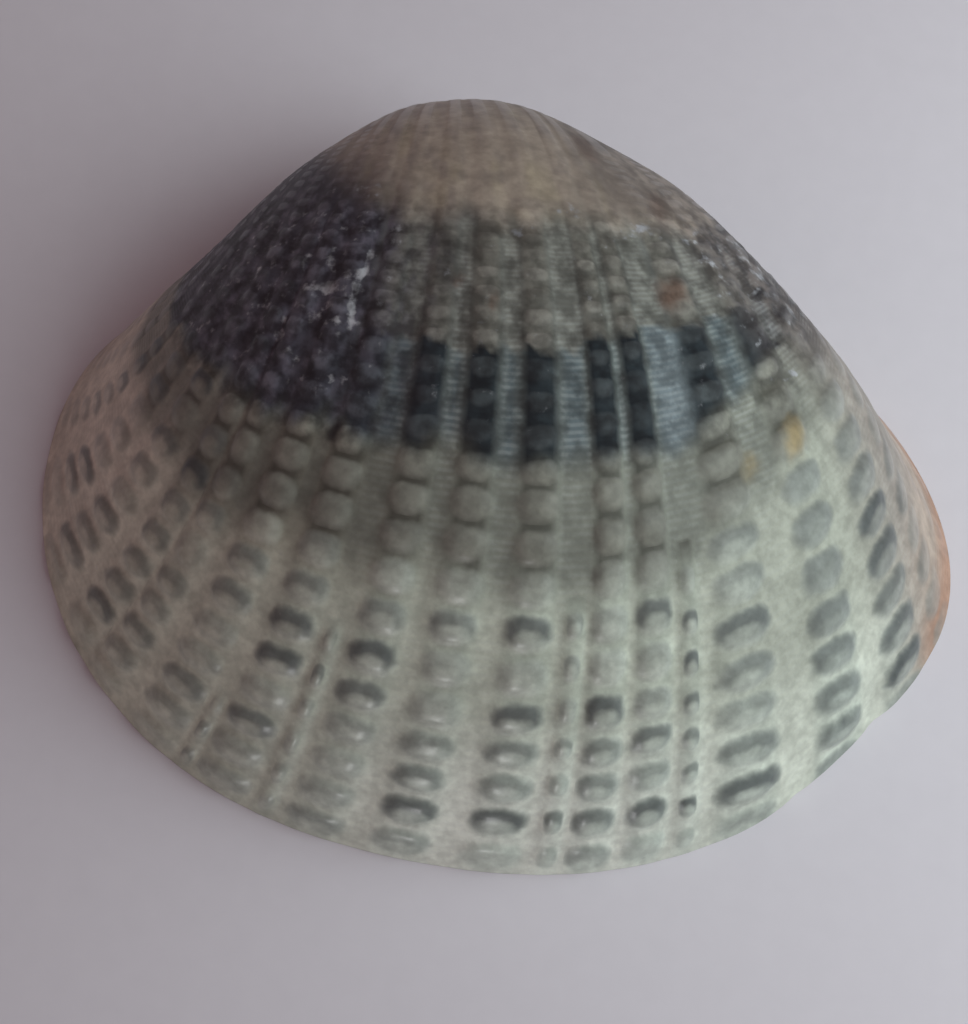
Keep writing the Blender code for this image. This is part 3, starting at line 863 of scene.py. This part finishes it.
def fresh_tones(place, turn, rib):
    """Fresh shell: green-grey grooves, ribs and nodules, palest low down, where painted light is added
    to the shell's own paler colour, browner behind, warmer towards the front end, with an olive tinge
    below the slate patch."""
    gap = 1.0 - rib
    start = np.zeros(place.shape + (4,))
    whole = np.ones(place.shape)
    ground = blend(start, "#b0b6a7", whole)
    ground = blend(ground, "#a7afa1", rib)
    knob = blend(start, "#afb6aa", whole)
    ground = blend(ground, "#999d90", 0.85 * ease(REAR_HALF, place))
    knob = blend(knob, "#7c827c", 0.8 * ease(REAR_NODULES, place))

    # Low down: the shell's own paler colour near the margin, with painted light added where the low
    # slope faces the light.
    low = ease(LOW_TURNS, turn) * ease(LOW_PLACES, place)
    ground = blend(ground, "#cbd1c3", 0.7 * low * gap)
    ground = blend(ground, "#c3ccbf", 0.75 * low * rib)
    knob = blend(knob, "#b9c4b8", 0.7 * low * (1.0 - 0.5 * ease(LOW_REAR_NODULES, place)))
    # Painted light: a near-white glow on the middle of the low slope, laid over the shell's pale colour.
    pale_and_painted_light = low * ease(BRIGHT_REAR, place) * ease(BRIGHT_FRONT, place)
    ground = blend(ground, "#dde2d8", 0.45 * pale_and_painted_light)
    knob = blend(knob, "#c3cdc2", 0.45 * pale_and_painted_light)

    behind = ease(BEHIND, place)
    ground = blend(ground, "#89817a", 0.9 * behind)
    knob = blend(knob, "#84817b", 0.8 * behind)

    front = ease(FRONT, place)
    ground = blend(ground, "#b1b0a1", 0.9 * front)
    knob = blend(knob, "#a7a595", 0.8 * front)
    tip = ease(FRONT_TIP, place)
    ground = blend(ground, "#c6baad", 0.6 * tip)
    knob = blend(knob, "#b4a89c", 0.5 * tip)
    olive = ease(OLIVE_TURNS, turn) * ease(OLIVE_REAR, place)
    olive = olive * ease(OLIVE_FRONT, place)
    return blend(ground, "#6b6555", 0.7 * olive), knob


def band_tones(ground, knob, place, turn, side, rib):
    """The slate band across the ribs, and the dusk that leads up to it."""
    gap = 1.0 - rib
    edge = torn(place, turn)
    climb = sum(BAND_CLIMB * ease(step, place) for step in BAND_STEPS)
    dusk = ease(DUSK_TURNS, turn - climb + edge) * ease(DUSK_REAR, place)
    ground = blend(ground, "#44443d", 0.9 * dusk * rib)
    ground = blend(ground, "#5f625a", 0.8 * dusk * gap)
    knob = blend(knob, "#74756b", 0.9 * dusk)

    slate = ease(SLATE_TURNS, turn - climb + 0.6 * edge) * ease(SLATE_REAR, place)
    soft_rib = ease(SOFT_RIB_TONE, side)
    ground = blend(ground, "#1d2629", slate * soft_rib)
    ground = blend(ground, "#505b5d", slate * (1.0 - soft_rib))
    wide = ease(WIDE_GROOVE[0], place) * ease(WIDE_GROOVE[1], place) * slate
    ground = blend(ground, "#616c6f", wide)
    return ground, blend(knob, "#3c4344", slate)


def worn_tones(ground, knob, place, turn, rib):
    """Olive grey and mottled where the outer layer is worn off, then the slate patch in front with
    a teal tinge, and the dark brown rear slope."""
    mottle = speckle(place, turn, MOTTLE)
    edge = torn(place, turn)
    worn = worn_layer(place, turn)
    ground = blend(ground, "#5b5b54", worn * rib)
    ground = blend(ground, "#6b6d66", worn * (1.0 - rib))
    ground = blend(ground, "#4a4a45", 0.5 * worn * ease(MOTTLED, mottle))
    knob = blend(knob, "#807f77", worn)

    patch = ease(PATCH_TURNS, turn + edge) * ease(PATCH_PLACES, place + 0.6 * edge)
    ground = blend(ground, "#34353c", patch)
    ground = blend(ground, "#51515a", 0.8 * patch * ease(PATCH_MOTTLED, mottle))
    knob = blend(knob, "#585a62", patch)
    teal = patch * ease(TEAL_TURNS, turn) * ease(TEAL_PLACES, place)
    ground = blend(ground, "#1a2628", 0.5 * teal)
    knob = blend(knob, "#2c3a3c", 0.5 * teal)

    slope = rear_slope(place, turn)
    ground = blend(ground, "#504b48", 0.9 * slope)
    dark = slope * ease(MOTTLED, mottle) * ease(SLOPE_TOP, turn)
    ground = blend(ground, "#434445", 0.7 * dark)
    return ground, blend(knob, "#605d5a", 0.9 * slope)


def end_tones(ground, knob, place, turn):
    """The tan cap on the umbo, mottled and browner behind, and the brown and orange rear end."""
    leaning = place + CAP_LEAN * (turn - CAP_TURN)
    cap = ease(CAP_TURNS, turn + torn(place, turn)) * ease(CAP_PLACES, leaning)
    yellow = ease(CAP_YELLOW, speckle(place, turn, YELLOW_CLOUDS))
    grey = ease(CAP_GREY, speckle(place, turn, GREY_CLOUDS))
    ground = blend(ground, "#948a7d", cap)
    ground = blend(ground, "#8b8269", 0.4 * cap * yellow)
    ground = blend(ground, "#79716b", 0.5 * cap * grey)
    ground = blend(ground, "#625b55", 0.8 * cap * ease(CAP_REAR, place))

    rear = ease(REAR_PLACES, place) * ease(REAR_TURNS, turn)
    ground = blend(ground, "#ab998a", 0.7 * rear)
    edge = ease(REAR_EDGE_PLACES, place) * ease(REAR_EDGE_TURNS, turn)
    return blend(ground, "#a07a64", 0.8 * edge), blend(knob, "#948a7d", cap)


def colours(place, turn, side):
    """Colour of the ground and of the nodules all over the outside: pale fresh shell near the margin,
    with painted light on the low slope, a slate band and patch, a tan cap on the umbo, brown ends, and
    small marks."""
    rib = ease(RIB_TONE, side)
    ground, knob = fresh_tones(place, turn, rib)
    ground, knob = band_tones(ground, knob, place, turn, side, rib)
    ground, knob = worn_tones(ground, knob, place, turn, rib)
    ground, knob = end_tones(ground, knob, place, turn)
    for strokes, colour in (
        (DARK_MARKS, "#26282b"), (BROWN_MARKS, "#54443a"), (YELLOW_MARKS, "#a08850"),
    ):
        cover = marks(place, turn, strokes)
        ground = blend(ground, colour, cover)
        knob = blend(knob, colour, cover)
    return ground, knob


def ring_strength(row, number):
    """How dark each nodule's edge is: most in the second row, little in the first, none beyond
    the tenth, different from nodule to nodule, weaker on the ribs to the sides; on the ribs near
    the front end also on the higher rows."""
    cell = np.clip(row.astype(int), 0, MOST_ROWS - 1)
    by_row = np.interp(cell, np.arange(len(RING_BY_ROW)), RING_BY_ROW)
    shares = np.ones(MOST_ROWS)
    for first, share in RING_SHARES:
        shares[first:] = share
    on_flank = (number >= FLANK_RIBS[0]) & (number <= FLANK_RIBS[1])
    flank = np.where(on_flank, np.interp(cell, FLANK_ROWS, FLANK_RINGS), 0.0)
    strength = np.maximum(by_row * shares[number], flank)
    return np.clip(strength * (0.2 + 0.9 * chance_at(number, row, RING_SEED)), 0.0, DARKEST_RING)


def nodule_shown(place, turn, row, number):
    """How much each nodule stands out from its rib in colour, and how small it is (1 is full
    size): towards the umbo they are smaller, more uneven, and at last gone."""
    chance = chance_at(number, row, SHOWN_SEED)
    high = ease(SHRINKING, turn)
    shown = 1.0 - high * (0.75 - 0.7 * chance)
    shown = shown * (1.0 - 0.8 * rear_slope(place, turn)) * ease(LAST_NODULES, turn)
    shown = shown * (1.0 - 0.4 * worn_layer(place, turn)) * ease(NODULES_REAR, place)
    shown = shown * (0.5 + 0.5 * ease(NODULES_FRONT, place))
    small = 1.0 + high * (0.4 + 1.6 * chance_at(number, row, SMALL_SEED))
    small = np.where(number >= len(RIBS), RIBLET_NODULES, small)
    return shown, small


def groove_lines(place, turn):
    """How strong the pale growth lines in the grooves are: more in the slate band, none at the
    front end and on the umbo, half as strong behind."""
    start, end = LINED_BAND_TURNS
    lined = LINED + LINED_BAND * ease(start, turn) * ease(end, turn)
    lined = lined * ease(LINED_TURNS, turn) * (1.0 - 0.5 * ease(LINED_REAR, place))
    return lined * ease(LINED_FRONT, place)


def blotches(place, turn):
    """How blotched the stains are: most on the slate patch, much on the worn layer and the rear
    slope, little where the shell is fresh."""
    dark = ease(STAINED, turn) * ease(STAINS_END, turn) * ease(STAINS_REAR, place)
    patch = dark * ease(BLOTCHED_PATCH, place)
    upper = ease(UPPER_SLOPE, turn) * rear_slope(place, turn)
    return 0.12 + 0.30 * dark + 0.38 * patch + 0.35 * upper


def chalk(place, turn, side):
    """How chalky the surface is: in the chipped marks, and thinly over the stains."""
    stained = ease(CHALKY, turn) * ease(STAINS_END, turn)
    rear, front = CHALKY_PATCH
    patch = stained * ease(rear, place) * ease(front, place)
    ribs = stained * ease(CHALKY_RIB_TONE, side) * ease(CHALKY_RIBS, place)
    start, end = CHALKY_SLOPE
    upper = ease(start, turn) * ease(end, turn) * rear_slope(place, turn)
    thin = 0.27 * patch + 0.14 * ribs + 0.24 * upper
    return np.maximum(thin, marks(place, turn, PALE_MARKS))


def add_object(name, data, axes=np.eye(3), place=(0.0, 0.0, 0.0)):
    """A new object in the scene, with its own axes, right, up and back, at a place."""
    made = bpy.data.objects.new(name, data)
    matrix = np.eye(4)
    matrix[:3, :3] = np.transpose(axes)
    matrix[:3, 3] = place
    made.matrix_world = Matrix(matrix.tolist())
    bpy.context.scene.collection.objects.link(made)
    return made


def build_valve():
    """The whole valve as one closed surface, with its marks stored for the materials."""
    place = columns()
    outer, at, turn = outside(place)
    inner, inner_turn = inside(place)
    loops = np.concatenate([outer, inner])
    loops[..., :2] += np.array(BEAK) * MM
    mesh = loft(PIECE, loops)
    side, row, number, grown, _ = rib_layout(at, turn)
    ground, knob = colours(at, turn, side)
    shown, small = nodule_shown(at, turn, row, number)
    layers = {
        "rib_side": np.minimum(side, FAR),
        "row": row,
        "turn": turn,
        "nodule_ring": ring_strength(row, number) * grown * ease(NODULES_REAR, at),
        "nodule_shown": shown * grown,
        "nodule_small": small,
        "groove_lines": groove_lines(at, turn),
        "blotched": blotches(at, turn),
        "chalky": chalk(at, turn, side),
        "ground_colour": ground,
        "nodule_colour": knob,
    }
    for name, values in layers.items():
        put(mesh, name, values)
    inner_place = np.broadcast_to(place, inner_turn.shape)
    put(mesh, "inner_marked", inner_marks(inner_place, inner_turn), outer.shape[0] * outer.shape[1])
    mesh.materials.append(weathered_shell())
    mesh.materials.append(porcelain_shell())
    outer_quads = (len(outer) - 1) * len(place)
    index = np.zeros(len(mesh.polygons), np.int32)
    index[outer_quads : len(mesh.polygons) - 2 * len(place)] = 1
    index[len(mesh.polygons) - len(place) :] = 1
    mesh.polygons.foreach_set("material_index", index)
    mesh.shade_smooth()
    mesh.set_sharp_from_angle(angle=SHARP_ANGLE)
    return add_object(PIECE, mesh)


# Camera: measured from the photograph's frame of 968 by 1024.
FRAME_WIDTH = 968
PIXELS_PER_MM = 24.0
CAMERA_DISTANCE = 130.0 * MM
CAMERA_TARGET = (-0.797 * MM, -2.275 * MM, 4.0 * MM)
CAMERA_ELEVATION = math.radians(66.0)
CAMERA_ROLL = math.radians(11.0)
SENSOR = 36.0
CLIP_START = 5.0 * MM
FLOOR_HALF = 0.6
FLOOR_DROP = -0.02 * MM
# Lights: name, place, target, size, power, colour, and whether gloss shows it.
LIGHTS = (
    ("window", (0.073, 0.010, 0.063), (0.0, 0.003, 0.0), 0.10, 0.109, "#f1fdff", False),
    ("room", (-0.20, -0.02, 0.05), (0.0, 0.0, 0.005), 0.12, 0.030, "#fff0e6", False),
    ("front_glint", (0.02, -0.30, 0.016), (0.0, -0.005, 0.004), 0.016, 0.11, "#ffffff", True),
)
SURROUND = 0.17


def add_camera():
    """Camera at the photograph's angle: on the belly's side, high up, rolled a little."""
    data = bpy.data.cameras.new("photo_camera")
    data.sensor_fit = "HORIZONTAL"
    data.sensor_width = SENSOR
    focal_pixels = PIXELS_PER_MM * CAMERA_DISTANCE / MM
    data.lens = focal_pixels * SENSOR / FRAME_WIDTH
    data.clip_start = CLIP_START
    back = np.array([0.0, -math.cos(CAMERA_ELEVATION), math.sin(CAMERA_ELEVATION)])
    level = np.array([1.0, 0.0, 0.0])
    rise = np.cross(back, level)
    right = math.cos(CAMERA_ROLL) * level + math.sin(CAMERA_ROLL) * rise
    up = -math.sin(CAMERA_ROLL) * level + math.cos(CAMERA_ROLL) * rise
    place = np.array(CAMERA_TARGET) + back * CAMERA_DISTANCE
    bpy.context.scene.camera = add_object("photo_camera", data, (right, up, back), place)


def add_floor():
    """Plain pale paper under the valve."""
    mesh = bpy.data.meshes.new("floor")
    sides = ((-1, -1), (1, -1), (1, 1), (-1, 1))
    corners = [(x * FLOOR_HALF, y * FLOOR_HALF, FLOOR_DROP) for x, y in sides]
    mesh.from_pydata(corners, [], [(0, 1, 2, 3)])
    mesh.materials.append(paper())
    floor = add_object("floor", mesh)


def add_light(name, place, target, size, power, colour, mirrored):
    """Square soft light at a place, turned to a target; mirrored is whether gloss shows it."""
    data = bpy.data.lights.new(name, "AREA")
    data.size = size
    data.energy = power
    data.color = linear(colour)[:3]
    back = np.array(place) - np.array(target)
    back /= np.linalg.norm(back)
    right = np.cross([0.0, 0.0, 1.0], back)
    right /= np.linalg.norm(right)
    light = add_object(name, data, (right, np.cross(back, right), back), place)
    light.visible_camera = False
    light.visible_glossy = mirrored


def add_studio():
    """A broad near light from the right, a weak one low on the left, a small one low in front,
    and a dim warm surround."""
    for light in LIGHTS:
        add_light(*light)
    world = bpy.data.worlds.new("surround")
    world.use_nodes = True
    shade = world.node_tree.nodes["Background"]
    shade.inputs["Color"].default_value = linear("#ffd2da")
    shade.inputs["Strength"].default_value = SURROUND
    bpy.context.scene.world = world
    bpy.context.scene.view_settings.view_transform = "Standard"


add_camera()
add_floor()
add_studio()
valve = build_valve()
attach(valve, "root")
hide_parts("left_valve")
